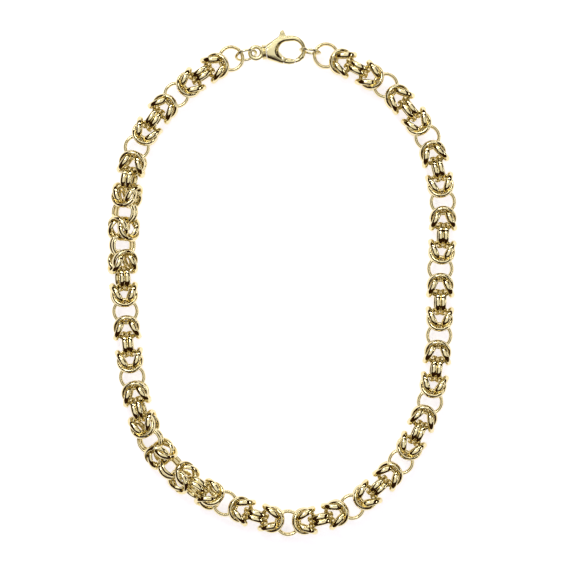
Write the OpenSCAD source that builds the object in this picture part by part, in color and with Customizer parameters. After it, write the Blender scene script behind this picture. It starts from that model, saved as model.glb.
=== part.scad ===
// Byzantine necklace: woven round rings, a lobster clasp and two jump rings, laid flat as a closed oval.
// Millimetres. Z is up, the surface it rests on is z = 0, and the clasp lies at the +Y end of the oval.

/* [Chain rings] */
// Outer diameter of every ring of the weave
ring_od = 9.6; // [9.55:0.05:9.8]
// Diameter of the ring wire
wire_d = 1.28; // [1.1:0.02:1.28]
// Space between the two rings of a pair
pair_gap = 0.13; // [0.12:0.01:0.16]

/* [Weave] */
// Number of flat pairs, each a pair of stacked rings
pair_count = 37; // [33:2:41]
// Lean of a knot ring away from the line of the chain, in degrees
knot_lean = 25.5; // [25.5:0.1:26]
// How much less some knot rings lean, in degrees
lean_play = 0.3; // [0:0.1:0.4]
// Space between two knot rings at the end where they lie close
close_gap = 0.14; // [0.13:0.01:0.16]
// Play of every ring along the chain
link_play = 0.7; // [0.68:0.01:0.72]
// How far a knot's rings are drawn away from the pair that they hold
knot_shift = 0.03; // [0.02:0.01:0.04]
// How far the lower half of the oval is pushed back towards the left end
bunch = 1.2; // [0:0.2:1.4]
// How far the two end pairs hang below the rest
end_drop = 0.5; // [0.3:0.1:0.6]
// How far the pairs rock about the line of the chain, in degrees
rock = 1.5; // [0:0.5:2]
// How far a ring of a pair slips sideways
pair_slip = 0.05; // [0:0.01:0.08]

/* [Jump rings] */
// Outer diameter of the two jump rings
jump_od = 8.2; // [8:0.1:8.6]
// Wire of the jump rings
jump_wire = 1; // [0.8:0.05:1.05]
// Lean of the jump ring at the eye away from upright, in degrees
eye_ring_lean = 24; // [10:2:26]
// Lean of the jump ring in the claw away from upright, in degrees
claw_ring_lean = 6; // [0:2:12]
// Play of the jump ring at the eye, at each of its ends
eye_play = 0.85; // [0.7:0.05:1]
// Play of the jump ring in the claw
claw_play = 0.15; // [0.12:0.01:0.3]
// Play of the same jump ring at the last pair
pair_play = 0.4; // [0.3:0.05:0.6]
// How far the jump ring at the eye turns from the line of the clasp, in degrees
eye_bend = 8.5; // [0:0.5:12]
// How far the last pair turns from the line of the jump ring in the claw, in degrees
claw_bend = 12; // [0:1:14]

/* [Clasp] */
// From the middle of the eye to the middle of the claw's opening
clasp_len = 12.3; // [12.2:0.1:13.5]
// Half height of the claw's opening
claw_open_r = 3; // [2.9:0.05:3.1]
// How much longer than high the claw's opening is
claw_stretch = 2; // [1.8:0.1:2.2]
// Width of the rim over the opening
rim_w = 2.2; // [2.1:0.05:2.4]
// Thickness of the claw
claw_thick = 2.3; // [2.1:0.05:2.4]
// Thickness of the body along its ridge
ridge_thick = 3.4; // [3.2:0.05:3.6]
// Half width of the body at its base
base_r = 2.8; // [2.6:0.05:2.85]
// Diameter of the collar between the body and the eye
collar_d = 5.7; // [5.3:0.1:5.8]
// Length of the collar
collar_len = 1.5; // [1.4:0.1:1.7]
// Outer diameter of the eye
eye_od = 5.7; // [5.5:0.1:5.8]
// Wire of the eye
eye_wire = 1.5; // [1.4:0.05:1.55]
// How deep the eye's ring sits in the collar
eye_sink = 0.65; // [0.5:0.05:0.75]
// Gap between the collar and the body, which turn on each other
swivel_gap = 0.15; // [0.12:0.01:0.2]
// Diameter of the claw at its tip
claw_tip_d = 1.4; // [1.3:0.05:1.5]

/* [Lever] */
// Diameter of the pivot pin
pin_d = 0.8; // [0.7:0.05:0.85]
// Diameter of the pin's heads
pin_head_d = 1.4; // [1.3:0.05:1.5]
// Height of the pin's heads
pin_head_h = 0.3; // [0.2:0.05:0.4]
// Metal between the slot and the seat of each head
pin_ledge = 0.5; // [0.45:0.05:0.55]
// Clearance of the pin in its bores
pin_gap = 0.05; // [0.04:0.01:0.08]
// Thickness of the lever inside the body
lever_thick = 1.2; // [1:0.05:1.25]
// Clearance of the lever in its slot, and of the gate at the seam with the claw
lever_gap = 0.15; // [0.12:0.01:0.2]
// Width of the lever's arm
arm_w = 1.2; // [1.1:0.05:1.25]
// Diameter of the gate at its root
gate_root_d = 2.3; // [2.1:0.05:2.3]
// Diameter of the gate at its end
gate_end_d = 1.6; // [1.4:0.05:1.7]
// Width and thickness of the thumb knob
knob_d = 1.5; // [1.4:0.05:1.6]
// How far the lever opens, in degrees
lever_open = 28; // [20:1:28]

/* [Hidden] */
UP = [0, 0, 1];
GOLD = "#d8bd68";
PALE_GOLD = "#e0cd8a";

// Shape of the laid chain, from the claw round by the left. Only its shape is used, because the
// whole loop is scaled to the length of the chain and the clasp.
ROUTE = [[3, 82.6], [-18, 80.5], [-37, 68], [-51, 50], [-55.5, 26.5], [-56.5, 10], [-55.5, -8],
         [-53, -32], [-46.5, -54.5], [-30, -71.5], [-0.5, -83.5], [23, -79],
         [41, -63.5], [52, -42], [55.5, -18], [56, 6], [57, 29], [51.5, 52.5], [36.5, 71], [15.5, 81.5]];
ROUTE_STEPS = 12;

// Roll of the weave about its own line: columns are the pair's number and the roll in degrees.
LAY_ROLL = [[0, 0], [4, 0], [5, 12], [6, 33], [7, 56], [8, 77], [9, 88], [11, 90], [12, 98],
            [13, 114], [14, 133], [15, 152], [16, 169], [17, 180], [60, 180]];

ring_r = (ring_od - wire_d) / 2;
pitch = 2 * (ring_r * (1 + cos(knot_lean)) - wire_d - link_play - knot_shift);
close_half = (wire_d + close_gap) / 2;
pair_half = (wire_d + pair_gap) / 2;
half_pair = floor(pair_count / 2);

jump_r = (jump_od - jump_wire) / 2;
jump_ir = jump_r - jump_wire / 2;
eye_r = (eye_od - eye_wire) / 2;
claw_half = claw_open_r + claw_stretch / 2;

// Distances along the clasp's own line, from the first pair to the last
pair_hold = ring_r + sqrt(pow(jump_ir, 2) - pow(pair_half + wire_d / 2, 2)) - wire_d / 2;
eye_ring_at = pair_hold - eye_play;
eye_at = eye_ring_at + jump_ir - eye_wire / 2 - eye_play + eye_r;
claw_ring_on = claw_half + jump_ir - claw_play;
last_ring_on = pair_hold - pair_play;
// Length of two links that meet at a slight bend, and the turn of the first from the straight line
function bent(first, second, bend) = sqrt(pow(first, 2) + pow(second, 2) + 2 * first * second * cos(bend));
function bent_turn(first, second, bend) = asin(second * sin(bend) / bent(first, second, bend));
claw_at = bent(eye_at, clasp_len, eye_bend);
last_pair_on = bent(claw_ring_on, last_ring_on, claw_bend);
clasp_span = claw_at + last_pair_on;
loop_len = (pair_count - 1) * pitch + clasp_span;

// Route of the chain as a closed smooth curve, measured along its length
function along(p0, p1, p2, p3, f) =
    0.5 * (2 * p1 + (p2 - p0) * f + (2 * p0 - 5 * p1 + 4 * p2 - p3) * f * f
           + (3 * p1 - p0 - 3 * p2 + p3) * f * f * f);
function corner(k) = ROUTE[(k + len(ROUTE)) % len(ROUTE)];
route_fine = [for (k = [0 : len(ROUTE) - 1], j = [0 : ROUTE_STEPS - 1])
                  along(corner(k - 1), corner(k), corner(k + 1), corner(k + 2), j / ROUTE_STEPS)];
fine_count = len(route_fine);
function fine(k) = route_fine[k % fine_count];
route_len = [for (k = 0, s = 0; k <= fine_count; s = s + norm(fine(k + 1) - fine(k)), k = k + 1) s];
route_scale = loop_len / route_len[fine_count];
route_x = [for (k = [0 : fine_count]) [route_len[k] * route_scale, fine(k).x * route_scale]];
route_y = [for (k = [0 : fine_count]) [route_len[k] * route_scale, fine(k).y * route_scale]];

function place(s) = [lookup(s, route_x), lookup(s, route_y), 0];
function unit(v) = v / norm(v);
function turned(v, axis, a) = v * cos(a) + cross(axis, v) * sin(a) + axis * (axis * v) * (1 - cos(a));

// Small uneven values between -1 and 1, the same each time
function uneven(k) = sin(163.3 * k);

middle_pair = (pair_count - 1) / 2;
function pair_place(i) = place(claw_at + i * pitch - bunch * (1 - abs(i - middle_pair) / middle_pair));
function roll(i) = lookup(i, LAY_ROLL) + rock * uneven(i);
function quarter(i) = i % 2 == 0 ? 0 : 90;
function lean(i, k) = knot_lean - lean_play * (0.5 + 0.5 * uneven(4 * i + k));

// Each ring is [middle, direction it faces]
function pair_rings(i) =
    let (t = unit(pair_place(i + 1) - pair_place(i - 1)), face = turned(UP, t, roll(i) + quarter(i)))
    [for (k = [-1, 1])
        [pair_place(i) + face * k * pair_half + cross(face, t) * pair_slip * uneven(2 * i + k), face]];

// A knot is four rings: two hold the pair before it, two hold the pair after it
function knot_rings(i) =
    let (p = (pair_place(i) + pair_place(i + 1)) / 2, t = unit(pair_place(i + 1) - pair_place(i)),
         face = turned(UP, t, (roll(i) + roll(i + 1)) / 2 + quarter(i)), side = cross(face, t))
    [for (k = [-1, 1])
        each [knot_ring(p, t, side * k, face, lean(i, k)), knot_ring(p, -t, face * k, side, lean(i, k + 2))]];
function knot_ring(p, t, out, face, a) =
    [p + t * knot_shift + out * (close_half + ring_r * sin(a)), cross(t * cos(a) + out * sin(a), face)];

// Every knot rests on the surface, a pair lies level with its two knots, and the end pairs hang lower
function reach(ring, axis) = ring_r * sqrt(max(0, 1 - pow(ring[1][axis], 2))) + wire_d / 2;
function lowest(rings, axis) = min([for (q = rings) q[0][axis] - reach(q, axis)]);
function highest(rings, axis) = max([for (q = rings) q[0][axis] + reach(q, axis)]);
function raised(rings, h) = [for (q = rings) [q[0] + UP * h, q[1]]];
knot_z = [for (i = [0 : pair_count - 2]) -lowest(knot_rings(i), 2)];
function pair_z(i) =
    i == 0 ? knot_z[0] - end_drop
    : i == pair_count - 1 ? knot_z[i - 1] - end_drop
    : max((knot_z[i - 1] + knot_z[i]) / 2, -lowest(pair_rings(i), 2));
pairs = [for (i = [0 : pair_count - 1]) raised(pair_rings(i), pair_z(i))];
knots = [for (i = [0 : pair_count - 2]) raised(knot_rings(i), knot_z[i])];
left_rings = [for (i = [0 : half_pair]) each pairs[i], for (i = [0 : half_pair - 1]) each knots[i]];
right_rings = [for (i = [half_pair + 1 : pair_count - 1]) each pairs[i],
               for (i = [half_pair : pair_count - 2]) each knots[i]];

// The claw lies where its distances from the first and the last pair are both right
first_pair = pair_place(0);
last_pair = pair_place(pair_count - 1);
function direction(v) = atan2(v.y, v.x);
function polar(r, a) = [r * cos(a), r * sin(a), 0];
end_gap = last_pair - first_pair;
claw_rise = acos((pow(claw_at, 2) + pow(norm(end_gap), 2) - pow(last_pair_on, 2)) / (2 * claw_at * norm(end_gap)));
claw_place = first_pair + polar(claw_at, direction(end_gap) + claw_rise);
clasp_turn = direction(claw_place - first_pair) - bent_turn(clasp_len, eye_at, eye_bend);
claw_ring_turn = direction(last_pair - claw_place);
claw_ring_place = claw_place + polar(claw_ring_on, claw_ring_turn + bent_turn(claw_ring_on, last_ring_on, claw_bend));
clasp_z = max(pair_z(0), jump_od / 2);

// Places on the clasp, from the middle of the claw's opening
rim_mid = claw_open_r + rim_w / 2;
rim_shift = [claw_stretch / 5, 0, 0];
pivot = claw_open_r * [-0.95, -1.017, 0];
shoulder = rim_mid * [-0.83, 1.073, 0];
collar_x = eye_od / 2 - eye_sink - clasp_len;
base_x = collar_x + collar_len + swivel_gap;
base_flat = 0.75;
base_h = 0.4;
ridge = [[base_x + ridge_thick / 2 + 0.15, base_r / 4, 0], pivot + [-0.65, 0.95, 0]];
belly = [[base_x + 0.95, -0.82 * base_r, 0], pivot + [-0.35, -0.45, 0]];
belly_r = [0.85, 1.2];
cheek_r = pin_head_d / 2 + 0.3;
mouth_reach = 2 * rim_mid;
claw_bend_end = rim_mid * [0.878, -0.72, 0];
claw_bend_d = rim_w - 0.3;
claw_tip = rim_mid * [0.293, -1, 0];
gate_root = [pivot + [0.6, -0.65, 0], rim_mid * [-0.19, -0.976, 0]];
gate_end = rim_mid * [0.244, -1.024, 0];
seam_r = 1.049 * rim_mid;
slot_half = lever_thick / 2 + lever_gap;
pin_seat = slot_half + pin_ledge;

// The lever's arm runs from the pivot round the opening, to a thumb piece that stands above the rim
arm_side = arm_w / 2 + lever_gap;
rim_top = claw_open_r + rim_w;
arm = [pivot, [-claw_half - 0.8, -0.2, 0], [-claw_half - 0.4, 0.87 * claw_open_r, 0], [-claw_half * 0.6, rim_top + 0.2, 0]];
knob = [-claw_half * 0.6, rim_top + 1.35, 0];
thumb = [knob + [-1.4, -1.55, 0], knob + [1.3, -1.55, 0], knob + [knob_d / 2, 0.05, 0], knob + [-knob_d / 2, 0.05, 0]];

// The slot follows the arm's inner side at rest, and its outer side when the lever is open
function swung(place) = pivot + turned(place - pivot, UP, lever_open);
slot_front = [pivot + [1.5, -0.4 - cheek_r, 0], [-0.73 * claw_open_r, -claw_open_r / 2, 0], [-claw_half + 0.1, 0.1, 0],
              arm[2] + [arm_side - 0.25, -1.4, 0], arm[2] + [arm_side, -0.3, 0],
              arm[3] + [0.55, -0.55, 0], thumb[1] + [0.25, -0.15, 0], thumb[1] + [0.25, 2, 0]];
slot_back = [swung(thumb[0]) + [-0.1, 3, 0], swung(thumb[0]) + [-0.2, -0.85, 0],
             swung(arm[2]) + [-arm_side, -0.2, 0], swung(arm[1]) + [-arm_side - 0.1, -0.4, 0],
             pivot + [-1.75, -0.35, 0], pivot + [-0.55, -0.2 - cheek_r, 0]];

all_rings = concat(left_rings, right_rings);
mid_x = (lowest(all_rings, 0) + highest(all_rings, 0)) / 2;
knob_top = claw_place.y + knob.x * sin(clasp_turn) + knob.y * cos(clasp_turn) + knob_d / 2;
mid_y = (lowest(all_rings, 1) + max(knob_top, highest(all_rings, 1))) / 2;

module centred() {
    translate([-mid_x, -mid_y, 0]) children();
}

module at_claw() {
    centred() translate([claw_place.x, claw_place.y, clasp_z]) rotate(clasp_turn) children();
}

module ring_of(r, wire) {
    rotate_extrude($fn = 48) translate([r, 0]) circle(d = wire, $fn = 24);
}

// A ring that stands on edge along X, leaning away from upright
module upright_ring(lean) {
    rotate([90 - lean, 0, 0]) ring_of(jump_r, jump_wire);
}

module laid_rings(rings) {
    for (ring = rings)
        translate(ring[0]) rotate([0, acos(ring[1].z), atan2(ring[1].y, ring[1].x)]) ring_of(ring_r, wire_d);
}

module chain_left() {
    color(GOLD) centred() laid_rings(left_rings);
}

module chain_right() {
    color(GOLD) centred() laid_rings(right_rings);
}

module jump_ring_eye() {
    color(PALE_GOLD) at_claw() translate([-clasp_len, 0, 0]) rotate(eye_bend)
        translate([eye_ring_at - eye_at, 0, 0]) upright_ring(eye_ring_lean);
}

module jump_ring_claw() {
    color(PALE_GOLD) centred() translate([claw_ring_place.x, claw_ring_place.y, clasp_z])
        rotate(claw_ring_turn) upright_ring(claw_ring_lean);
}

module upright_bore(r) {
    cylinder(r = r, h = 2 * ridge_thick, center = true, $fn = 48);
}

// Full form of the body before anything is cut from it
module body_form() {
    hull() {
        translate(rim_shift) rotate_extrude($fn = 48)
            translate([rim_mid + (rim_w - claw_thick) / 2, 0]) circle(d = claw_thick, $fn = 16);
        translate(shoulder) sphere(d = claw_thick, $fn = 20);
        for (k = [0, 1]) translate(belly[k]) sphere(r = belly_r[k], $fn = 20);
        for (place = ridge) translate(place) sphere(d = ridge_thick, $fn = 20);
        translate([base_x, 0, 0]) scale([1, 1, base_flat]) rotate([0, 90, 0]) cylinder(r = base_r, h = base_h, $fn = 32);
    }
}

// Half section of the claw's opening: a round inner edge that runs out in an even slope
edge_end = 50;
edge_step = 10;
slope_h = 1.5;
slope_end = opening_edge(edge_end) + slope_h * [tan(edge_end), 1];
opening_half = [[0, -slope_end.y], [slope_end.x, -slope_end.y],
                for (a = [-edge_end : edge_step : edge_end]) opening_edge(a),
                slope_end, [0, slope_end.y]];
function opening_edge(a) = [claw_open_r + claw_thick / 2 * (1 - cos(a)), claw_thick / 2 * sin(a)];

module claw_opening() {
    for (side = [-1, 1]) translate([side * claw_stretch / 2, 0, 0]) rotate_extrude($fn = 48) polygon(opening_half);
    for (turn = [0, 180]) rotate([90, 0, 90 + turn]) linear_extrude(claw_stretch, center = true) polygon(opening_half);
}

module flat_plate(places, thick) {
    translate([0, 0, -thick / 2]) linear_extrude(thick) polygon([for (place = places) [place.x, place.y]]);
}

// The gap that the gate closes, from the pivot's round cheeks to the bend of the claw
module mouth() {
    difference() {
        flat_plate([pivot, pivot + [0, -mouth_reach, 0], [mouth_reach, -mouth_reach, 0], [0, 0, 0]], 2 * ridge_thick);
        translate(pivot) upright_bore(cheek_r);
    }
}

module clasp_body() {
    color(GOLD) at_claw() {
        difference() {
            body_form();
            claw_opening();
            mouth();
            flat_plate(concat(slot_front, slot_back), 2 * slot_half);
            translate(pivot) upright_bore(pin_d / 2 + pin_gap);
            for (turn = [0, 180]) translate(pivot) rotate([turn, 0, 0]) translate([0, 0, pin_seat])
                cylinder(r = pin_head_d / 2 + pin_gap, h = ridge_thick, $fn = 32);
        }
        difference() {
            hull() {
                translate(claw_bend_end) sphere(d = claw_bend_d, $fn = 20);
                translate(claw_tip) sphere(d = claw_tip_d, $fn = 20);
            }
            translate(pivot) upright_bore(seam_r + lever_gap);
        }
    }
}

module clasp_eye() {
    color(GOLD) at_claw() {
        translate([-clasp_len, 0, 0]) ring_of(eye_r, eye_wire);
        translate([collar_x, 0, 0]) rotate([0, 90, 0]) rotate_extrude($fn = 48)
            polygon([[0, 0], [collar_d / 2 - 0.4, 0], [collar_d / 2, 0.2], [collar_d / 2, 0.45],
                     [collar_d / 2 - 0.3, 0.6], [collar_d / 2 - 0.3, collar_len - 0.6],
                     [collar_d / 2, collar_len - 0.45], [collar_d / 2, collar_len - 0.2],
                     [collar_d / 2 - 0.4, collar_len], [0, collar_len]]);
    }
}

module clasp_pin() {
    color(PALE_GOLD) at_claw() translate(pivot) {
        cylinder(d = pin_d, h = 2 * pin_seat + 2 * pin_gap, center = true, $fn = 24);
        for (turn = [0, 180]) rotate([turn, 0, 0]) translate([0, 0, pin_seat + pin_gap])
            cylinder(d = pin_head_d, h = pin_head_h, $fn = 32);
    }
}

module bar(from, to) {
    translate(from) rotate(direction(to - from)) translate([0, -arm_w / 2, -lever_thick / 2])
        cube([norm(to - from), arm_w, lever_thick]);
}

module gate() {
    intersection() {
        hull() {
            for (place = gate_root) translate(place) sphere(d = gate_root_d, $fn = 20);
            translate(gate_end) sphere(d = gate_end_d, $fn = 20);
        }
        translate(pivot) difference() {
            upright_bore(seam_r);
            upright_bore(cheek_r + lever_gap);
            translate([lever_gap - seam_r, 0, 0]) cube([2 * seam_r, 2 * seam_r, 2 * ridge_thick], center = true);
        }
    }
}

module clasp_lever() {
    color(GOLD) at_claw() difference() {
        union() {
            translate(pivot) cylinder(r = cheek_r, h = lever_thick, center = true, $fn = 32);
            for (k = [1 : len(arm) - 1]) {
                bar(arm[k - 1], arm[k]);
                translate(arm[k]) cylinder(d = arm_w + 0.1, h = lever_thick, center = true, $fn = 24);
            }
            flat_plate(thumb, lever_thick);
            translate(knob) cylinder(d = knob_d, h = knob_d, center = true, $fn = 32);
            bar(pivot, gate_root[1]);
            gate();
        }
        translate(pivot) upright_bore(pin_d / 2 + pin_gap);
    }
}

chain_left();
chain_right();
jump_ring_eye();
jump_ring_claw();
clasp_body();
clasp_eye();
clasp_pin();
clasp_lever();
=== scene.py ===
"""Byzantine neck chain closed by a lobster clasp, laid flat as an upright oval on a white surface."""

import logging
import math
from collections.abc import Callable, Iterator, Sequence
from contextlib import contextmanager
from dataclasses import dataclass, field
from enum import Enum
from itertools import pairwise

import bmesh
import bpy
import numpy as np
from mathutils import Matrix, Vector


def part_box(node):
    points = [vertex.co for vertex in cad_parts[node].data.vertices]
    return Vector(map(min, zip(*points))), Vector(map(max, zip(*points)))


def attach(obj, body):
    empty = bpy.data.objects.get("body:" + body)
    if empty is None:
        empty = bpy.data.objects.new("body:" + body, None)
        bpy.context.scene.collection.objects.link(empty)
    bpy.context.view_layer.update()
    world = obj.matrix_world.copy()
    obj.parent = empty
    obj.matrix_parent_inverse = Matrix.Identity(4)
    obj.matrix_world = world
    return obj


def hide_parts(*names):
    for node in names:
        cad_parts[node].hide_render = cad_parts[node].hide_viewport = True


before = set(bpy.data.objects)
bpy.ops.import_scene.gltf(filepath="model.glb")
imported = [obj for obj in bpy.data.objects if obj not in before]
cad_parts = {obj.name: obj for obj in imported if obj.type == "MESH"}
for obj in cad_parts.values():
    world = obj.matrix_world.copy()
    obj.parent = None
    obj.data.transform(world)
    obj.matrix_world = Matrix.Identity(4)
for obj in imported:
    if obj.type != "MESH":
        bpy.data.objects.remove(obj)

LOG = logging.getLogger("necklace")
MM = 0.001

# Two rings are a pair when their middles are this near, in metres, and they face this much one way.
PAIR_REACH = 2.0 * MM
SAME_WAY = 0.99

# How far from a middle plane a vertex counts as beside it, the sides of round forms, and the range
# in which most of a noise texture's values lie.
SEAM_TOLERANCE = 1e-4
BALL_SIDES = 48
TUBE_SIDES = (96, 32)
UPRIGHT_SIDES = 64
NOISE_RANGE = (0.3, 0.7)

Place = tuple[float, float, float]
FlatPlace = tuple[float, float]


class Body(Enum):
    """The two bodies of the frame that pieces ride on."""

    NECKLACE = "necklace"
    LEVER = "lever"


# Mesh work


def deselect_all() -> None:
    """Leaves nothing selected, so that the next operator acts on its own piece alone."""
    for thing in list(bpy.context.selected_objects):
        thing.select_set(False)


def activate(piece: bpy.types.Object) -> None:
    """Selects one piece and makes it the active one.

    Args:
        piece: The piece that the next operator acts on.
    """
    deselect_all()
    piece.select_set(True)
    bpy.context.view_layer.objects.active = piece


def fresh(name: str) -> bpy.types.Object:
    """Names the primitive that was just added and puts its place into its mesh.

    Args:
        name: Name of the piece.

    Returns:
        The piece, with its object at the origin.
    """
    piece = bpy.context.active_object
    piece.name = name
    activate(piece)
    bpy.ops.object.transform_apply(location=True, rotation=True, scale=True)
    return piece


@contextmanager
def edit_mesh(piece: bpy.types.Object) -> Iterator[None]:
    """Holds a piece in edit mode with all of it selected.

    Args:
        piece: The piece to edit.
    """
    activate(piece)
    bpy.ops.object.mode_set(mode="EDIT")
    bpy.ops.mesh.select_all(action="SELECT")
    yield
    bpy.ops.object.mode_set(mode="OBJECT")


def pick(piece: bpy.types.Object, wanted: Callable[[Vector], bool]) -> None:
    """Selects vertices in edit mode by their place.

    Args:
        piece: The piece that is in edit mode.
        wanted: Says for a vertex's place whether it is selected.
    """
    mesh = bmesh.from_edit_mesh(piece.data)
    for vertex in mesh.verts:
        vertex.select_set(wanted(vertex.co))
    mesh.select_flush_mode()
    bmesh.update_edit_mesh(piece.data)


def applied(piece: bpy.types.Object, kind: str, **settings: object) -> bpy.types.Object:
    """Adds one modifier to a piece and applies it.

    Args:
        piece: The piece that is changed.
        kind: The modifier's type.
        **settings: The modifier's settings.

    Returns:
        The same piece.
    """
    activate(piece)
    modifier = piece.modifiers.new(kind.title(), kind)
    for key, value in settings.items():
        setattr(modifier, key, value)
    bpy.ops.object.modifier_apply(modifier=modifier.name)
    return piece


def joined(name: str, parts: Sequence[bpy.types.Object]) -> bpy.types.Object:
    """Joins several meshes to one piece.

    Args:
        name: Name of the new piece.
        parts: The meshes, the first of which is kept.

    Returns:
        The joined piece.
    """
    deselect_all()
    for part in parts:
        part.select_set(True)
    bpy.context.view_layer.objects.active = parts[0]
    bpy.ops.object.join()
    parts[0].name = name
    return parts[0]


def cut(piece: bpy.types.Object, *cutters: bpy.types.Object) -> bpy.types.Object:
    """Takes cutters away from a piece, and deletes them.

    Args:
        piece: The piece that is cut.
        *cutters: Closed meshes.

    Returns:
        The same piece.
    """
    for cutter in cutters:
        applied(piece, "BOOLEAN", operation="DIFFERENCE", solver="EXACT", object=cutter)
        bpy.data.objects.remove(cutter)
    return piece


def ball(place: Sequence[float], radius: float) -> bpy.types.Object:
    """Makes one ball of a hull.

    Args:
        place: Its middle, in millimetres.
        radius: Its radius, in millimetres.

    Returns:
        The ball.
    """
    deselect_all()
    bpy.ops.mesh.primitive_uv_sphere_add(
        segments=BALL_SIDES, ring_count=BALL_SIDES // 2, radius=radius, location=place
    )
    return fresh("ball")


def tube_ring(place: Sequence[float], radius: float, wire: float) -> bpy.types.Object:
    """Makes a fine ring of round section, lying flat.

    Args:
        place: Its middle, in millimetres.
        radius: Radius of the middle of its wire, in millimetres.
        wire: Radius of the wire itself, in millimetres.

    Returns:
        The ring.
    """
    deselect_all()
    around, across = TUBE_SIDES
    bpy.ops.mesh.primitive_torus_add(
        major_segments=around,
        minor_segments=across,
        major_radius=radius,
        minor_radius=wire,
        location=place,
    )
    return fresh("tube_ring")


def hull(name: str, parts: Sequence[bpy.types.Object]) -> bpy.types.Object:
    """Stretches one skin round several meshes.

    Args:
        name: Name of the new piece.
        parts: The meshes that it goes round.

    Returns:
        The closed convex skin.
    """
    piece = joined(name, parts)
    with edit_mesh(piece):
        bpy.ops.mesh.convex_hull()
    return piece


def plate(name: str, outline: Sequence[Sequence[float]], thick: float) -> bpy.types.Object:
    """Makes a flat plate, half of it above the middle plane and half below.

    Args:
        name: Name of the plate.
        outline: Its corners, in millimetres, one after the other.
        thick: Its thickness, in millimetres.

    Returns:
        The plate.
    """
    deselect_all()
    bpy.ops.mesh.primitive_circle_add(vertices=len(outline), radius=1.0, fill_type="NGON")
    piece = fresh(name)
    for vertex, place in zip(piece.data.vertices, outline, strict=True):
        vertex.co = (place[0], place[1], -thick / 2)
    with edit_mesh(piece):
        bpy.ops.mesh.extrude_region_move(TRANSFORM_OT_translate={"value": (0, 0, thick)})
        bpy.ops.mesh.select_all(action="SELECT")
        bpy.ops.mesh.normals_make_consistent(inside=False)
    return piece


def turned_form(name: str, profile: Sequence[FlatPlace], sides: int = 64) -> bpy.types.Object:
    """Turns a solid about Z, ring by ring from its lowest end.

    Args:
        name: Name of the solid.
        profile: Rows of radius and height, in millimetres.
        sides: Number of sides.

    Returns:
        The closed solid.
    """
    deselect_all()
    bpy.ops.mesh.primitive_circle_add(
        vertices=sides, radius=profile[0][0], fill_type="NGON", location=(0, 0, profile[0][1])
    )
    piece = fresh(name)
    with edit_mesh(piece):
        for (radius, height), (next_radius, next_height) in pairwise(profile):
            bpy.ops.mesh.extrude_region_move(
                TRANSFORM_OT_translate={"value": (0, 0, next_height - height)}
            )
            grown = next_radius / radius
            bpy.ops.transform.resize(value=(grown, grown, 1), center_override=(0, 0, next_height))
        bpy.ops.mesh.select_all(action="SELECT")
        bpy.ops.mesh.normals_make_consistent(inside=False)
    return piece


def cast(piece: bpy.types.Object, grain: float, passes: int) -> bpy.types.Object:
    """Melts overlapping forms into one skin with soft edges, as a cast and tumbled part has.

    Args:
        piece: The piece, in millimetres.
        grain: Size of the new faces, in millimetres.
        passes: How many times the skin is smoothed.

    Returns:
        The same piece.
    """
    applied(piece, "REMESH", mode="VOXEL", voxel_size=grain, use_smooth_shade=True)
    applied(piece, "SMOOTH", factor=0.5, iterations=passes)
    return piece


def shade_smooth(piece: bpy.types.Object, angle: float = 180.0) -> None:
    """Shades a piece smooth across all edges flatter than an angle, in degrees."""
    activate(piece)
    bpy.ops.object.shade_smooth_by_angle(angle=math.radians(angle))


# Finishes


def linear(code: str) -> tuple[float, float, float, float]:
    """Turns an sRGB hex colour to linear light.

    Args:
        code: Six hex digits after a hash sign.

    Returns:
        Red, green, blue and alpha.
    """
    shares = [int(code[k : k + 2], 16) / 255 for k in (1, 3, 5)]
    red, green, blue = (s / 12.92 if s <= 0.04045 else ((s + 0.055) / 1.055) ** 2.4 for s in shares)
    return red, green, blue, 1.0


def add_node(
    tree: bpy.types.NodeTree, kind: str, inputs: dict[str, object] | None = None, **settings: object
) -> bpy.types.Node:
    """Adds a node with its settings, its constants and its links.

    Args:
        tree: The node tree that it joins.
        kind: The node's type.
        inputs: A constant or another node's output for each named input.
        **settings: The node's own settings.

    Returns:
        The node.
    """
    node = tree.nodes.new(kind)
    for key, value in settings.items():
        setattr(node, key, value)
    for key, value in (inputs or {}).items():
        if isinstance(value, bpy.types.NodeSocket):
            tree.links.new(value, node.inputs[key])
        else:
            node.inputs[key].default_value = value
    return node


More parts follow.
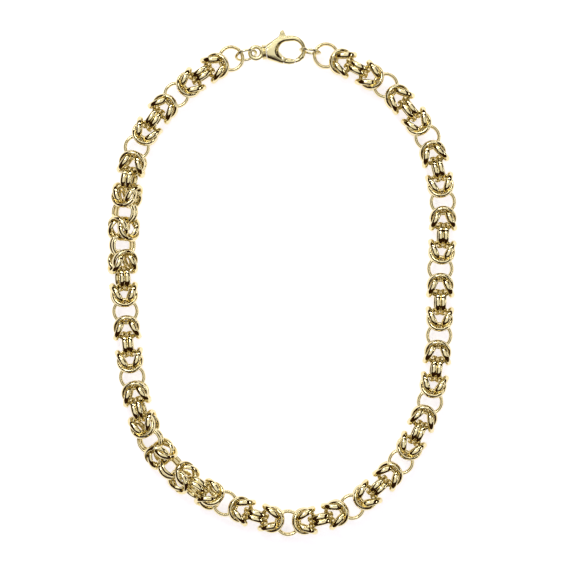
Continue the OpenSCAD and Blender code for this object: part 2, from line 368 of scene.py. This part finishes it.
@dataclass
class Surface:
    """A new material's tree, with the object's own coordinates for its textures."""

    name: str

    def __post_init__(self) -> None:
        """Makes the empty material."""
        self.made = bpy.data.materials.new(self.name)
        self.made.use_nodes = True
        self.tree = self.made.node_tree
        self.tree.nodes.clear()
        self.place = add_node(self.tree, "ShaderNodeTexCoord").outputs["Object"]

    def noise(self, size_mm: float, **inputs: float) -> bpy.types.NodeSocket:
        """Adds soft noise.

        Args:
            size_mm: Size of its features, in millimetres.
            **inputs: Other constants of the texture.

        Returns:
            Its values.
        """
        constants = {"Vector": self.place, "Scale": 1.0 / (size_mm * MM), **inputs}
        return add_node(self.tree, "ShaderNodeTexNoise", constants).outputs["Fac"]

    def mixed(self, factor: bpy.types.NodeSocket, first: str, second: str) -> bpy.types.NodeSocket:
        """Mixes two colours.

        Args:
            factor: How much of the second there is.
            first: The first colour's hex code.
            second: The second colour's hex code.

        Returns:
            The mixed colour.
        """
        inputs = {"Factor": factor, 6: linear(first), 7: linear(second)}
        return add_node(self.tree, "ShaderNodeMix", inputs, data_type="RGBA").outputs[2]

    def bumped(
        self, height: bpy.types.NodeSocket, depth_mm: float, **inputs: object
    ) -> bpy.types.NodeSocket:
        """Turns a height into a bump.

        Args:
            height: The height, from 0 to 1.
            depth_mm: What a height of 1 stands for, in millimetres.
            **inputs: Other inputs of the bump.

        Returns:
            The bent normal.
        """
        constants = {"Strength": 1.0, "Distance": depth_mm * MM, "Height": height, **inputs}
        return add_node(self.tree, "ShaderNodeBump", constants).outputs["Normal"]

    def finished(self, **inputs: object) -> bpy.types.Material:
        """Adds the shader and the output.

        Args:
            **inputs: The shader's inputs, with underscores in place of spaces.

        Returns:
            The material.
        """
        named = {key.replace("_", " "): value for key, value in inputs.items()}
        shader = add_node(self.tree, "ShaderNodeBsdfPrincipled", named)
        add_node(self.tree, "ShaderNodeOutputMaterial", {"Surface": shader.outputs["BSDF"]})
        return self.made


@dataclass(frozen=True)
class GoldFinish:
    """Yellow gold: one alloy, and how far its surface was polished.

    Args:
        name: Name of the finish.
        bright: Colour of the metal where it is freshly polished.
        warm: Colour of the metal where it is a little warmer.
        smoothest: Least roughness.
        roughest: Most roughness.
        patch_mm: Size of the patches in which colour and polish vary.
        wave_mm: Size of the soft unevenness that tumbling leaves.
        wave_depth_mm: Depth of that unevenness.
        scratch_mm: Width of the fine polishing marks. Real ones are some hundredths of a
            millimetre wide, and these are drawn coarse enough to show.
        scratch_depth_mm: Depth of those marks.
        polish_share: How many times smaller the patches of polish are than those of colour.
    """

    name: str
    bright: str
    warm: str
    smoothest: float
    roughest: float
    patch_mm: float
    wave_mm: float
    wave_depth_mm: float
    scratch_mm: float
    scratch_depth_mm: float
    polish_share: float = 3.0

    def material(self) -> bpy.types.Material:
        """Makes the finish as a material.

        Returns:
            The material.
        """
        surface = Surface(self.name)
        patches = surface.noise(self.patch_mm, Detail=3.0, Roughness=0.6)
        polish = surface.noise(self.patch_mm / self.polish_share, Detail=2.0)
        low, high = NOISE_RANGE
        spread_out = {
            "Value": polish,
            "From Min": low,
            "From Max": high,
            "To Min": self.smoothest,
            "To Max": self.roughest,
        }
        rough = add_node(surface.tree, "ShaderNodeMapRange", spread_out).outputs["Result"]
        waves = surface.noise(self.wave_mm, Detail=1.0)
        marks = surface.noise(self.scratch_mm, Detail=2.0)
        tumbled = surface.bumped(waves, self.wave_depth_mm)
        scratched = surface.bumped(marks, self.scratch_depth_mm, Normal=tumbled)
        colour = surface.mixed(patches, self.bright, self.warm)
        return surface.finished(Base_Color=colour, Metallic=1.0, Roughness=rough, Normal=scratched)


# Drawn wire, tumbled bright: sharp cream glints between dark streaks.
POLISHED_WIRE = GoldFinish(
    name="gold_polished_wire",
    bright="#ede2b6",
    warm="#e8d7a0",
    smoothest=0.04,
    roughest=0.12,
    patch_mm=4.0,
    wave_mm=1.4,
    wave_depth_mm=0.06,
    scratch_mm=0.2,
    scratch_depth_mm=0.0008,
)

# Cast and polished clasp: broad soft gleams, a little duller than the wire.
POLISHED_CAST = GoldFinish(
    name="gold_polished_cast",
    bright="#ebe1b2",
    warm="#e5d8a4",
    smoothest=0.16,
    roughest=0.28,
    patch_mm=3.0,
    wave_mm=2.2,
    wave_depth_mm=0.012,
    scratch_mm=0.16,
    scratch_depth_mm=0.0012,
)

# The jump rings' paler alloy: nearly white glints.
PALE_WIRE = GoldFinish(
    name="gold_pale_wire",
    bright="#eae2bd",
    warm="#e2d6aa",
    smoothest=0.07,
    roughest=0.18,
    patch_mm=3.0,
    wave_mm=1.5,
    wave_depth_mm=0.01,
    scratch_mm=0.2,
    scratch_depth_mm=0.0006,
)


@dataclass(frozen=True)
class OpalFinish:
    """Matt opal acrylic of a table whose surface faintly glows with painted light, so that shadows
    stay pale.
    """

    name: str = "opal_table"
    white: str = "#dedee4"
    shade: str = "#dadae2"
    # Painted glow: the table's surface emits this light itself, which pales the shadows on it.
    painted_glow_colour: str = "#f9f6fa"
    painted_glow_strength: float = 0.76
    roughness: float = 0.9
    gloss: float = 0.2
    cloud_mm: float = 40.0

    def material(self) -> bpy.types.Material:
        """Makes the acrylic as a material.

        Returns:
            The material.
        """
        surface = Surface(self.name)
        return surface.finished(
            Base_Color=surface.mixed(surface.noise(self.cloud_mm), self.white, self.shade),
            Roughness=self.roughness,
            Specular_IOR_Level=self.gloss,
            # Painted glow on the table, which lightens the shadows that fall on it.
            Emission_Color=linear(self.painted_glow_colour),
            Emission_Strength=self.painted_glow_strength,
        )


class Palette:
    """Makes each finish once and lays it on pieces."""

    def __init__(self) -> None:
        """Starts with no material made."""
        self.made: dict[str, bpy.types.Material] = {}

    def dress(self, piece: bpy.types.Object, finish: GoldFinish | OpalFinish) -> None:
        """Gives a piece one finish.

        Args:
            piece: The piece to dress.
            finish: Its finish.
        """
        if finish.name not in self.made:
            self.made[finish.name] = finish.material()
        piece.data.materials.clear()
        piece.data.materials.append(self.made[finish.name])


def mount(piece: bpy.types.Object, body: Body, slot: str, *nodes: str) -> None:
    """Lets a finished piece ride on its body in place of the frame's plain solids.

    Args:
        piece: The finished piece.
        body: The body that it moves with.
        slot: Not used.
        *nodes: The solids that it stands for.
    """
    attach(piece, body.value)
    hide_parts(*nodes)
    LOG.info("%s rides on %s, %d faces", piece.name, body.value, len(piece.data.polygons))


# Chain


@dataclass
class RingShape:
    """A round ring with its soldered seam, in metres.

    Its wire is round or oval. The cage has a few dozen faces. Two subdivisions draw its corners
    in, so it starts larger.
    """

    outer: float
    wire: float
    width: float
    around: int = 12
    across: int = 4
    levels: int = 2
    seam_swell: float = 1.05

    def drawn_in(self, count: int) -> float:
        """Gives how far subdivision draws in a circle of some corners, as a share.

        The smoothed line is a cubic spline, whose weights are those below.

        Args:
            count: How many corners the circle has.

        Returns:
            The smooth circle's radius as a share of the corners' radius.
        """
        step = 2 * math.pi / count
        at_corner = (4 + 2 * math.cos(step)) / 6
        at_middle = (46 * math.cos(step / 2) + 2 * math.cos(1.5 * step)) / 48
        return (at_corner + at_middle) / 2

    def build(self, name: str) -> bpy.types.Object:
        """Makes the ring lying flat round the origin.

        Args:
            name: Name of the ring.

        Returns:
            The ring.
        """
        round_share = self.drawn_in(self.around)
        wire_share = self.drawn_in(self.across)
        radius = (self.outer - self.wire) / 2 / round_share
        deselect_all()
        bpy.ops.mesh.primitive_torus_add(
            major_segments=self.around,
            minor_segments=self.across,
            major_radius=radius,
            minor_radius=self.wire / 2 / wire_share / round_share,
        )
        piece = fresh(name)
        reach = radius * math.sin(math.pi / self.around)
        with edit_mesh(piece):
            flat = round_share * self.width / self.wire
            bpy.ops.transform.resize(value=(1, 1, flat), center_override=(0, 0, 0))
            pick(piece, lambda place: place.x > 0 and abs(place.y) < reach / 2)
            swell = (self.seam_swell,) * 3
            bpy.ops.transform.resize(value=swell, center_override=(radius, 0, 0))
        applied(piece, "SUBSURF", levels=self.levels, render_levels=self.levels)
        shade_smooth(piece)
        return piece


@dataclass(frozen=True)
class RingPlace:
    """Where one ring of the frame lies: its middle, in metres, and the way it faces."""

    middle: Vector
    face: Vector

    def matrix(self, turn: float) -> Matrix:
        """Gives the ring's place.

        Args:
            turn: How far its seam is turned round it, in radians.

        Returns:
            The place as a matrix.
        """
        lie = self.face.to_track_quat("Z", "Y").to_matrix().to_4x4()
        return Matrix.Translation(self.middle) @ lie @ Matrix.Rotation(turn, 4, "Z")


def ring_places(node: str) -> list[RingPlace]:
    """Finds the rings of one of the frame's solids, from a copy that is taken apart.

    Args:
        node: The name of the solid.

    Returns:
        The place of each ring.
    """
    copy = bpy.data.objects.new("loose_rings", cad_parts[node].data.copy())
    bpy.context.scene.collection.objects.link(copy)
    with edit_mesh(copy):
        bpy.ops.mesh.remove_doubles(threshold=1e-7)
        bpy.ops.mesh.separate(type="LOOSE")
    places = []
    for part in list(bpy.context.selected_objects):
        corners = np.empty(len(part.data.vertices) * 3)
        part.data.vertices.foreach_get("co", corners)
        corners = corners.reshape(-1, 3)
        middle = corners.mean(0)
        _, axes = np.linalg.eigh(np.cov((corners - middle).T))
        places.append(RingPlace(Vector(middle), Vector(axes[:, 0])))
        bpy.data.objects.remove(part)
    return places


def spread(places: Sequence[RingPlace], by: float) -> Iterator[RingPlace]:
    """Moves the two rings of each pair a little apart, so that the wide wire doesn't run together.

    Args:
        places: The places of the rings.
        by: How far each ring of a pair moves, in metres.

    Yields:
        The new places, in the same order.
    """
    for place in places:
        moved = place
        for other in places:
            apart = place.middle - other.middle
            if 0 < apart.length < PAIR_REACH and abs(place.face.dot(other.face)) > SAME_WAY:
                moved = RingPlace(place.middle + apart.normalized() * by, place.face)
        yield moved


@dataclass
class Weave:
    """One half of the byzantine weave.

    The photo's rings are thin face on and wide edge on, so each ring is of oval wire, wider along
    its axis than it is thick. The frame's solids are round, and stay apart. Here the rings touch.
    """

    node: str
    ring: RingShape = field(default_factory=lambda: RingShape(9.56 * MM, 1.3 * MM, 2.06 * MM))
    pair_spread: float = 0.25 * MM
    seam_step: float = 2.4

    def build(self) -> bpy.types.Object:
        """Lays a copy of the ring on each ring of the solid.

        Returns:
            The half chain as one piece.
        """
        first = self.ring.build("ring")
        copies = []
        for k, place in enumerate(spread(ring_places(self.node), self.pair_spread)):
            copy = bpy.data.objects.new(f"ring_{k}", first.data.copy())
            copy.data.transform(place.matrix(self.seam_step * k))
            bpy.context.scene.collection.objects.link(copy)
            copies.append(copy)
        bpy.data.objects.remove(first)
        return joined(f"{self.node}_rings", copies)

    def make(self, palette: Palette) -> None:
        """Builds the half chain and dresses it.

        Args:
            palette: Where its finish comes from.
        """
        piece = self.build()
        palette.dress(piece, POLISHED_WIRE)
        mount(piece, Body.NECKLACE, "gold", self.node)


@dataclass
class JumpRing:
    """A jump ring of thinner wire."""

    node: str
    ring: RingShape = field(
        default_factory=lambda: RingShape(8.2 * MM, 1.0 * MM, 1.0 * MM, around=24, across=8, levels=1)
    )
    seam_turn: float = 1.2

    def make(self, palette: Palette) -> None:
        """Builds the ring where the frame has it, and dresses it.

        Args:
            palette: Where its finish comes from.
        """
        piece = self.ring.build(f"{self.node}_wire")
        (place,) = ring_places(self.node)
        piece.data.transform(place.matrix(self.seam_turn))
        palette.dress(piece, PALE_WIRE)
        mount(piece, Body.NECKLACE, "pale_gold", self.node)


# Clasp


@dataclass(frozen=True)
class ClaspPlan:
    """Main places and sizes of the clasp in millimetres, from the middle of the claw's opening.

    X runs along the clasp away from its eye, and Z is up.
    """

    turn: float = 4.62
    length: float = 12.3
    open_r: float = 3.0
    stretch: float = 2.0
    rim_w: float = 2.2
    claw_thick: float = 2.3
    ridge_thick: float = 3.4
    pivot: Place = (-2.85, -3.051, 0.0)
    cheek_r: float = 1.0
    slot_half: float = 0.75
    gap: float = 0.15
    pin_d: float = 0.8
    pin_head_d: float = 1.4
    pin_seat: float = 1.25
    bore_gap: float = 0.05
    seam_r: float = 4.3
    through: float = 6.0
    base_x: float = -8.45
    collar_x: float = -10.1

    def matrix(self) -> Matrix:
        """Gives the place of the clasp's own millimetres in the frame, from the pin's box.

        Returns:
            The place as a matrix.
        """
        low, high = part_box("clasp_pin")
        spin = Matrix.Rotation(math.radians(self.turn), 4, "Z")
        own = spin @ Matrix.Scale(MM, 4) @ Matrix.Translation(-Vector(self.pivot))
        return Matrix.Translation((low + high) / 2) @ own

    def upright(
        self, name: str, place: Sequence[float], radius: float, height: float
    ) -> bpy.types.Object:
        """Makes an upright round cutter or pillar, centred on a place.

        Args:
            name: Name of the piece.
            place: Its middle, in millimetres.
            radius: Its radius.
            height: Its height.

        Returns:
            The closed cylinder.
        """
        deselect_all()
        bpy.ops.mesh.primitive_cylinder_add(
            vertices=UPRIGHT_SIDES, radius=radius, depth=height, location=place
        )
        return fresh(name)

    def set_down(self, piece: bpy.types.Object) -> None:
        """Puts a piece made in the clasp's own millimetres where the frame has the clasp.

        Args:
            piece: The piece.
        """
        piece.data.transform(self.matrix())


@dataclass
class ClaspBody:
    """Cast body: a ridge-backed wedge that runs out in the claw round the opening."""

    plan: ClaspPlan
    ridge: tuple[Place, ...] = ((-6.9, 0.85, 0.9), (-3.5, -2.1, 0.9))
    ridge_r: float = 0.8
    belly: tuple[tuple[Place, float], ...] = (((-7.5, -2.3, 0.0), 0.85), ((-3.2, -3.5, 0.0), 1.2))
    shoulder: Place = (-3.4, 4.4, 0.0)
    rim_shift: float = 0.4
    base_r: float = 2.8
    base_flat: float = 0.75
    base_profile: tuple[FlatPlace, ...] = ((0.96, 0.0), (1.0, 0.12), (1.0, 0.5))
    edge_end: int = 50
    edge_step: int = 10
    opening_sides: int = 96
    slope: float = 1.5
    mouth_reach: float = 9.0
    bend: tuple[tuple[Place, float], ...] = (
        ((3.75, -2.75, 0.0), 0.98),
        ((2.6, -3.65, 0.0), 0.84),
        ((1.2, -4.1, 0.0), 0.7),
    )
    slot_outline: tuple[FlatPlace, ...] = (
        (-1.35, -4.45),
        (-2.19, -1.5),
        (-3.9, 0.1),
        (-3.9, 1.21),
        (-3.65, 2.31),
        (-1.85, 4.85),
        (-0.85, 4.85),
        (-0.85, 7.0),
        (-7.57, 6.61),
        (-7.67, 2.76),
        (-7.63, 1.02),
        (-6.76, -1.85),
        (-4.6, -3.4),
        (-3.4, -4.25),
    )
    grain: float = 0.1
    passes: int = 5

    def full_form(self) -> bpy.types.Object:
        """Makes the form before anything is cut from it.

        Returns:
            The closed form.
        """
        plan = self.plan
        tube = plan.claw_thick / 2
        parts = [tube_ring((self.rim_shift, 0, 0), plan.open_r + plan.rim_w - tube, tube)]
        parts.append(ball(self.shoulder, tube))
        parts += [ball(place, radius) for place, radius in self.belly]
        for x, y, z in self.ridge:
            parts += [ball((x, y, side * z), self.ridge_r) for side in (-1, 1)]
        base = turned_form("base", [(self.base_r * share, h) for share, h in self.base_profile])
        with edit_mesh(base):
            bpy.ops.transform.rotate(value=-math.pi / 2, orient_axis="Y", center_override=(0, 0, 0))
            bpy.ops.transform.resize(value=(1, 1, self.base_flat), center_override=(0, 0, 0))
            bpy.ops.transform.translate(value=(plan.base_x, 0, 0))
        parts.append(base)
        return hull("clasp_form", parts)

    def opening(self) -> bpy.types.Object:
        """Makes the cutter of the claw's opening.

        It is a long hole, whose edge is round and runs out in a slope.

        Returns:
            The closed cutter.
        """
        plan = self.plan
        half = plan.claw_thick / 2
        edge = []
        for degrees in range(-self.edge_end, self.edge_end + 1, self.edge_step):
            a = math.radians(degrees)
            edge.append((plan.open_r + half * (1 - math.cos(a)), half * math.sin(a)))
        run = self.slope * math.tan(math.radians(self.edge_end))
        end_r, end_z = edge[-1][0] + run, edge[-1][1] + self.slope
        profile = [(end_r, -end_z), *edge, (end_r, end_z)]
        cutter = turned_form("opening", profile, sides=self.opening_sides)
        with edit_mesh(cutter):
            for side in (-1, 1):
                pick(cutter, lambda place, side=side: place.x * side > SEAM_TOLERANCE)
                bpy.ops.transform.translate(value=(side * plan.stretch / 2, 0, 0))
        return cutter

    def mouth(self) -> bpy.types.Object:
        """Makes the cutter of the gap that the gate closes.

        Returns:
            The closed cutter.
        """
        x, y, _ = self.plan.pivot
        high = 2 * self.plan.ridge_thick
        far = self.mouth_reach
        wedge = plate("mouth", [(x, y), (x, y - far), (far, -far), (0, 0)], high)
        return cut(wedge, self.plan.upright("cheek", self.plan.pivot, self.plan.cheek_r, 2 * high))

    def pin_bore(self) -> list[bpy.types.Object]:
        """Makes the cutters of the pin's bore and of the seats of its heads.

        Returns:
            The closed cutters.
        """
        plan = self.plan
        high = plan.ridge_thick
        x, y, _ = plan.pivot
        seat_r = plan.pin_head_d / 2 + plan.bore_gap
        cutters = [plan.upright("bore", plan.pivot, plan.pin_d / 2 + plan.bore_gap, 3 * high)]
        for side in (-1, 1):
            middle = side * (plan.pin_seat + high / 2)
            cutters.append(plan.upright("seat", (x, y, middle), seat_r, high))
        return cutters

    def tip(self) -> bpy.types.Object:
        """Makes the claw's bent end, down to the seam with the gate.

        Returns:
            The closed form.
        """
        plan = self.plan
        links = [hull("bend", [ball(*first), ball(*second)]) for first, second in pairwise(self.bend)]
        for link in links:
            cut(link, plan.upright("seam", plan.pivot, plan.seam_r + plan.gap, plan.through))
        return joined("claw_tip", links)

    def make(self, palette: Palette) -> None:
        """Builds the body and dresses it.

        Args:
            palette: Where its finish comes from.
        """
        form = self.full_form()
        slot = plate("slot", self.slot_outline, 2 * self.plan.slot_half)
        cut(form, self.opening(), self.mouth(), slot, *self.pin_bore())
        piece = cast(joined("clasp_body_cast", [form, self.tip()]), self.grain, self.passes)
        shade_smooth(piece)
        self.plan.set_down(piece)
        palette.dress(piece, POLISHED_CAST)
        mount(piece, Body.NECKLACE, "gold", "clasp_body")


@dataclass
class ClaspEye:
    """Round eye on a ridged collar, behind the body."""

    plan: ClaspPlan
    eye_r: float = 2.1
    eye_wire: float = 0.75
    collar: tuple[FlatPlace, ...] = (
        (2.2, 0.0),
        (2.45, 0.0),
        (2.72, 0.06),
        (2.84, 0.2),
        (2.84, 0.42),
        (2.7, 0.55),
        (2.5, 0.62),
        (2.5, 0.88),
        (2.7, 0.95),
        (2.84, 1.08),
        (2.84, 1.3),
        (2.72, 1.44),
        (2.45, 1.5),
        (2.2, 1.5),
    )
    collar_sides: int = 72
    grain: float = 0.08
    passes: int = 3

    def make(self, palette: Palette) -> None:
        """Builds the eye with its collar and dresses it.

        Args:
            palette: Where its finish comes from.
        """
        eye = tube_ring((-self.plan.length, 0, 0), self.eye_r, self.eye_wire)
        collar = turned_form("collar", self.collar, sides=self.collar_sides)
        with edit_mesh(collar):
            bpy.ops.transform.rotate(value=-math.pi / 2, orient_axis="Y", center_override=(0, 0, 0))
            bpy.ops.transform.translate(value=(self.plan.collar_x, 0, 0))
        piece = cast(joined("clasp_eye_cast", [eye, collar]), self.grain, self.passes)
        shade_smooth(piece)
        self.plan.set_down(piece)
        palette.dress(piece, POLISHED_CAST)
        mount(piece, Body.NECKLACE, "gold", "clasp_eye")


@dataclass
class ClaspPin:
    """Pivot pin with two low domed heads.

    A head's rows are shares of its radius, and heights above its seat.
    """

    plan: ClaspPlan
    head: tuple[FlatPlace, ...] = ((1.0, 0.0), (1.0, 0.14), (0.93, 0.23), (0.78, 0.3))
    sides: int = 48
    crease: float = 35.0

    def make(self, palette: Palette) -> None:
        """Builds the pin and dresses it.

        Args:
            palette: Where its finish comes from.
        """
        plan = self.plan
        low = plan.pin_seat + plan.bore_gap
        half = [(plan.pin_d / 2, low)]
        half += [(share * plan.pin_head_d / 2, low + rise) for share, rise in self.head]
        profile = [(r, -z) for r, z in reversed(half)] + half
        piece = turned_form("clasp_pin_turned", profile, sides=self.sides)
        with edit_mesh(piece):
            bpy.ops.transform.translate(value=plan.pivot)
        shade_smooth(piece, self.crease)
        plan.set_down(piece)
        palette.dress(piece, PALE_WIRE)
        mount(piece, Body.NECKLACE, "pale_gold", "clasp_pin")


@dataclass
class Lever:
    """Spring lever: the gate that closes the claw, the arm round the opening and the thumb piece."""

    plan: ClaspPlan
    thick: float = 1.2
    arm_w: float = 1.2
    arm: tuple[FlatPlace, ...] = ((-2.85, -3.051), (-4.8, -0.2), (-4.4, 2.61), (-2.4, 5.4))
    thumb: tuple[FlatPlace, ...] = ((-3.8, 5.0), (-1.1, 5.0), (-1.65, 6.6), (-3.15, 6.6))
    knob: Place = (-2.4, 6.55, 0.0)
    knob_r: float = 0.75
    gate_balls: tuple[tuple[Place, float], ...] = (
        ((-2.25, -3.7, 0.0), 1.15),
        ((-0.78, -4.0, 0.0), 1.15),
        ((1.0, -4.2, 0.0), 0.8),
    )
    grain: float = 0.08
    passes: int = 4
    crease: float = 40.0

    def bar(self, start: Sequence[float], end: Sequence[float]) -> bpy.types.Object:
        """Makes a straight flat bar of the arm.

        Args:
            start: Where it starts, in millimetres.
            end: Where it ends.

        Returns:
            The bar.
        """
        line = Vector((end[0] - start[0], end[1] - start[1]))
        side = line.orthogonal().normalized() * self.arm_w / 2
        a, b = Vector(start[:2]), Vector(end[:2])
        return plate("bar", [a + side, b + side, b - side, a - side], self.thick)

    def gate(self) -> bpy.types.Object:
        """Makes the gate, cut round to clear the body's cheeks and the claw's tip.

        Returns:
            The closed form.
        """
        plan = self.plan
        form = hull("gate", [ball(place, radius) for place, radius in self.gate_balls])
        high = plan.through
        reach = plan.upright("reach", plan.pivot, plan.seam_r, high)
        applied(form, "BOOLEAN", operation="INTERSECT", solver="EXACT", object=reach)
        bpy.data.objects.remove(reach)
        x, y, _ = plan.pivot
        near = x + plan.gap
        behind = [(x - high, y - high), (near, y - high), (near, y + high), (x - high, y + high)]
        cheek = plan.upright("cheek", plan.pivot, plan.cheek_r + plan.gap, high)
        return cut(form, cheek, plate("behind", behind, high))

    def make(self, palette: Palette) -> None:
        """Builds the lever and dresses it.

        Args:
            palette: Where its finish comes from.
        """
        plan = self.plan
        parts = [plan.upright("hub", plan.pivot, plan.cheek_r, self.thick)]
        parts += [self.bar(a, b) for a, b in pairwise(self.arm)]
        for place in self.arm[1:]:
            parts.append(plan.upright("joint", (*place, 0), self.arm_w / 2, self.thick))
        parts.append(plate("thumb", self.thumb, self.thick))
        parts.append(plan.upright("knob", self.knob, self.knob_r, 2 * self.knob_r))
        parts.append(self.bar(plan.pivot, self.gate_balls[1][0]))
        parts.append(self.gate())
        piece = joined("clasp_lever_cast", parts)
        cast(piece, self.grain, self.passes)
        cut(piece, plan.upright("bore", plan.pivot, plan.pin_d / 2 + plan.bore_gap, plan.through))
        shade_smooth(piece, self.crease)
        plan.set_down(piece)
        palette.dress(piece, POLISHED_CAST)
        mount(piece, Body.LEVER, "gold", "clasp_lever")


# Studio


@dataclass(frozen=True)
class SoftBox:
    """A soft box that faces the middle of the table.

    Args:
        name: Name of the box.
        compass: Where it stands, in degrees from +X towards +Y.
        rise: How high it stands, in degrees above the table.
        away: Its distance, in metres.
        size: Its width and height, in metres.
        glow: How bright its face is, where the lit table is about 1.
        colour: Colour of its light.
    """

    name: str
    compass: float
    rise: float
    away: float
    size: FlatPlace
    glow: float
    colour: str = "#ffffff"

    def hang(self) -> None:
        """Hangs the box."""
        lamp = bpy.data.lights.new(self.name, "AREA")
        lamp.shape = "RECTANGLE"
        lamp.size, lamp.size_y = self.size
        lamp.energy = self.glow * math.pi * self.size[0] * self.size[1]
        lamp.color = linear(self.colour)[:3]
        thing = bpy.data.objects.new(self.name, lamp)
        compass, rise = math.radians(self.compass), math.radians(self.rise)
        level = self.away * math.cos(rise)
        height = self.away * math.sin(rise)
        place = Vector((level * math.cos(compass), level * math.sin(compass), height))
        thing.location = place
        thing.rotation_euler = (-place).to_track_quat("-Z", "Y").to_euler()
        bpy.context.scene.collection.objects.link(thing)


@dataclass
class Studio:
    """Opal table under soft boxes, and the camera straight above it.

    The photograph shows a square of 200.2 mm, whose middle lies a little off the frame's origin.
    """

    view_mm: float = 200.2
    middle_mm: FlatPlace = (0.042, 0.382)
    camera_height: float = 1.2
    chain_height: float = 0.005
    sensor_mm: float = 36.0
    table_size: float = 4.0
    dim: str = "#2e1a08"
    boxes: tuple[SoftBox, ...] = (
        SoftBox("box_above", 90, 86, 1.3, (1.75, 1.75), 0.95),
        SoftBox("box_key", 120, 58, 1.1, (0.26, 0.26), 10.0),
        SoftBox("box_north", 90, 34, 1.0, (1.1, 0.1), 8.0),
        SoftBox("box_east", 0, 28, 1.0, (0.6, 0.08), 6.0),
    )

    def set_table(self, palette: Palette) -> None:
        """Sets the table that the chain rests on.

        Args:
            palette: Where its finish comes from.
        """
        deselect_all()
        bpy.ops.mesh.primitive_plane_add(size=self.table_size)
        table = fresh("table")
        palette.dress(table, OpalFinish())

    def light(self) -> None:
        """Hangs the soft boxes in a dim room."""
        for box in self.boxes:
            box.hang()
        world = bpy.data.worlds.new("dim_room")
        world.use_nodes = True
        world.node_tree.nodes["Background"].inputs["Color"].default_value = linear(self.dim)
        bpy.context.scene.world = world

    def look(self) -> None:
        """Hangs the camera straight above, framed as the photograph."""
        lens = bpy.data.cameras.new("camera")
        lens.sensor_width = self.sensor_mm
        distance = self.camera_height - self.chain_height
        lens.lens = self.sensor_mm * distance / (self.view_mm * MM)
        camera = bpy.data.objects.new("camera", lens)
        x, y = self.middle_mm
        camera.location = (x * MM, y * MM, self.camera_height)
        bpy.context.scene.collection.objects.link(camera)
        bpy.context.scene.camera = camera

    def make(self, palette: Palette) -> None:
        """Sets the whole studio up.

        Args:
            palette: Where the table's finish comes from.
        """
        self.set_table(palette)
        self.light()
        self.look()
        bpy.context.scene.view_settings.view_transform = "Standard"


def main() -> None:
    """Builds and dresses the necklace in the studio."""
    logging.basicConfig(level=logging.INFO, format="%(message)s")
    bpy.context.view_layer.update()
    palette = Palette()
    plan = ClaspPlan()
    pieces = (
        Weave("chain_left"),
        Weave("chain_right"),
        JumpRing("jump_ring_eye"),
        JumpRing("jump_ring_claw"),
        ClaspBody(plan),
        ClaspEye(plan),
        ClaspPin(plan),
        Lever(plan),
    )
    for piece in pieces:
        piece.make(palette)
    Studio().make(palette)


if __name__ == "__main__":
    main()
